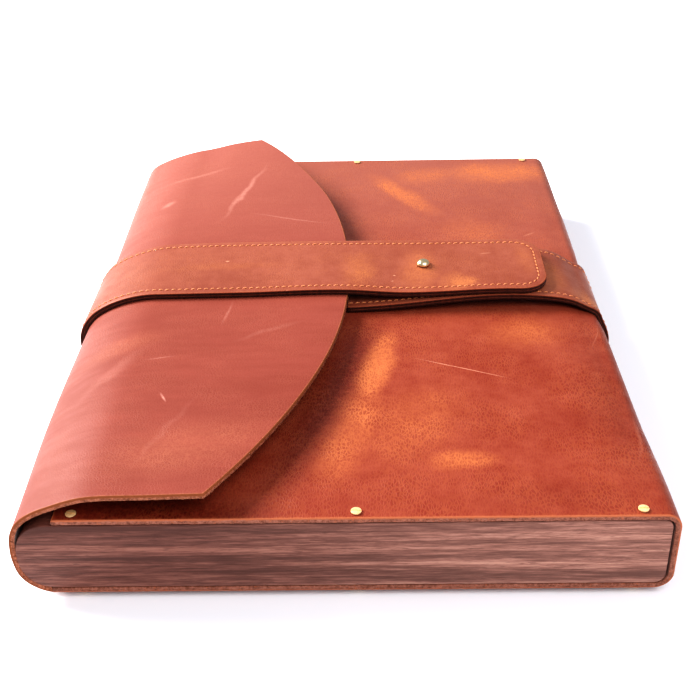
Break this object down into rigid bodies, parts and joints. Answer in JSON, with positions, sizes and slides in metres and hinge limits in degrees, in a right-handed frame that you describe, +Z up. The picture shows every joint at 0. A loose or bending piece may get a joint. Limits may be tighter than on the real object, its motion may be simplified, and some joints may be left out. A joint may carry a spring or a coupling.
{
  "type": "photo album flap case",
  "caption": "Flat leather case between two walnut end bars, with a flap that curls over the top and a strap that buttons on a brass stud; holds a photo album.",
  "frame": {"origin": "middle of the footprint, on the surface that the case lies on", "axes": "+X along the walnut bars, from the curled left end to the right side; +Y from the front bar to the rear bar; +Z up"},
  "size_m": [0.2512, 0.3448, 0.0519],
  "materials": {
    "panel_leather": "waxed pull-up leather, deep orange red, with lighter orange bends",
    "flap_leather": "waxed pull-up leather, dusty red brown, lightly scratched",
    "strap_leather": "waxed pull-up leather, orange brown, stitched in tan thread",
    "strap_lining": "dark brown leather backing with a dyed edge",
    "walnut": "fine straight grained walnut, oiled",
    "screw_brass": "bright turned brass",
    "stud_brass": "polished pale brass"
  },
  "bodies": {
    "case": {"leather_wrap": "panel_leather", "front_end_bar": "walnut", "rear_end_bar": "walnut", "front_top_screw_1": "screw_brass", "front_top_screw_2": "screw_brass", "front_top_screw_3": "screw_brass", "front_bottom_screw_1": "screw_brass", "front_bottom_screw_2": "screw_brass", "front_bottom_screw_3": "screw_brass", "rear_top_screw_1": "screw_brass", "rear_top_screw_2": "screw_brass", "rear_top_screw_3": "screw_brass", "rear_bottom_screw_1": "screw_brass", "rear_bottom_screw_2": "screw_brass", "rear_bottom_screw_3": "screw_brass", "strap_belt_face": "strap_leather", "strap_belt_lining": "strap_lining", "stud_button": "stud_brass", "stud_base_screw": "stud_brass"},
    "curl_strip_1": {"flap_curl_1": "flap_leather", "strap_curl_1_face": "strap_leather", "strap_curl_1_lining": "strap_lining"},
    "curl_strip_2": {"flap_curl_2": "flap_leather", "strap_curl_2_face": "strap_leather", "strap_curl_2_lining": "strap_lining"},
    "curl_strip_3": {"flap_curl_3": "flap_leather", "strap_curl_3_face": "strap_leather", "strap_curl_3_lining": "strap_lining"},
    "flap": {"flap_leaf": "flap_leather", "strap_over_flap_face": "strap_leather", "strap_over_flap_lining": "strap_lining"},
    "strap_tail": {"strap_tail_face": "strap_leather", "strap_tail_lining": "strap_lining"}
  },
  "joints": [
    {"name": "flap_open", "type": "hinge", "parent": "case", "child": "curl_strip_1", "pos_m": [-0.11071, 0, 0.00404], "axis": [0, -1, 0], "range_deg": [0, 40]},
    {"name": "flap_uncurl_2", "type": "hinge", "parent": "curl_strip_1", "child": "curl_strip_2", "pos_m": [-0.12022, 0, 0.01202], "axis": [0, -1, 0], "range_deg": [0, 40]},
    {"name": "flap_uncurl_3", "type": "hinge", "parent": "curl_strip_2", "child": "curl_strip_3", "pos_m": [-0.12237, 0, 0.02425], "axis": [0, -1, 0], "range_deg": [0, 40]},
    {"name": "flap_uncurl_4", "type": "hinge", "parent": "curl_strip_3", "child": "flap", "pos_m": [-0.11617, 0, 0.035], "axis": [0, -1, 0], "range_deg": [0, 40]},
    {"name": "strap_lift", "type": "hinge", "parent": "flap", "child": "strap_tail", "pos_m": [-0.0075, 0, 0.0482], "axis": [0, -1, 0], "range_deg": [0, 45]}
  ],
  "couplings": [
    {"joint": "flap_uncurl_2", "follows": "flap_open", "ratio": 1},
    {"joint": "flap_uncurl_3", "follows": "flap_open", "ratio": 1},
    {"joint": "flap_uncurl_4", "follows": "flap_open", "ratio": 1}
  ]
}
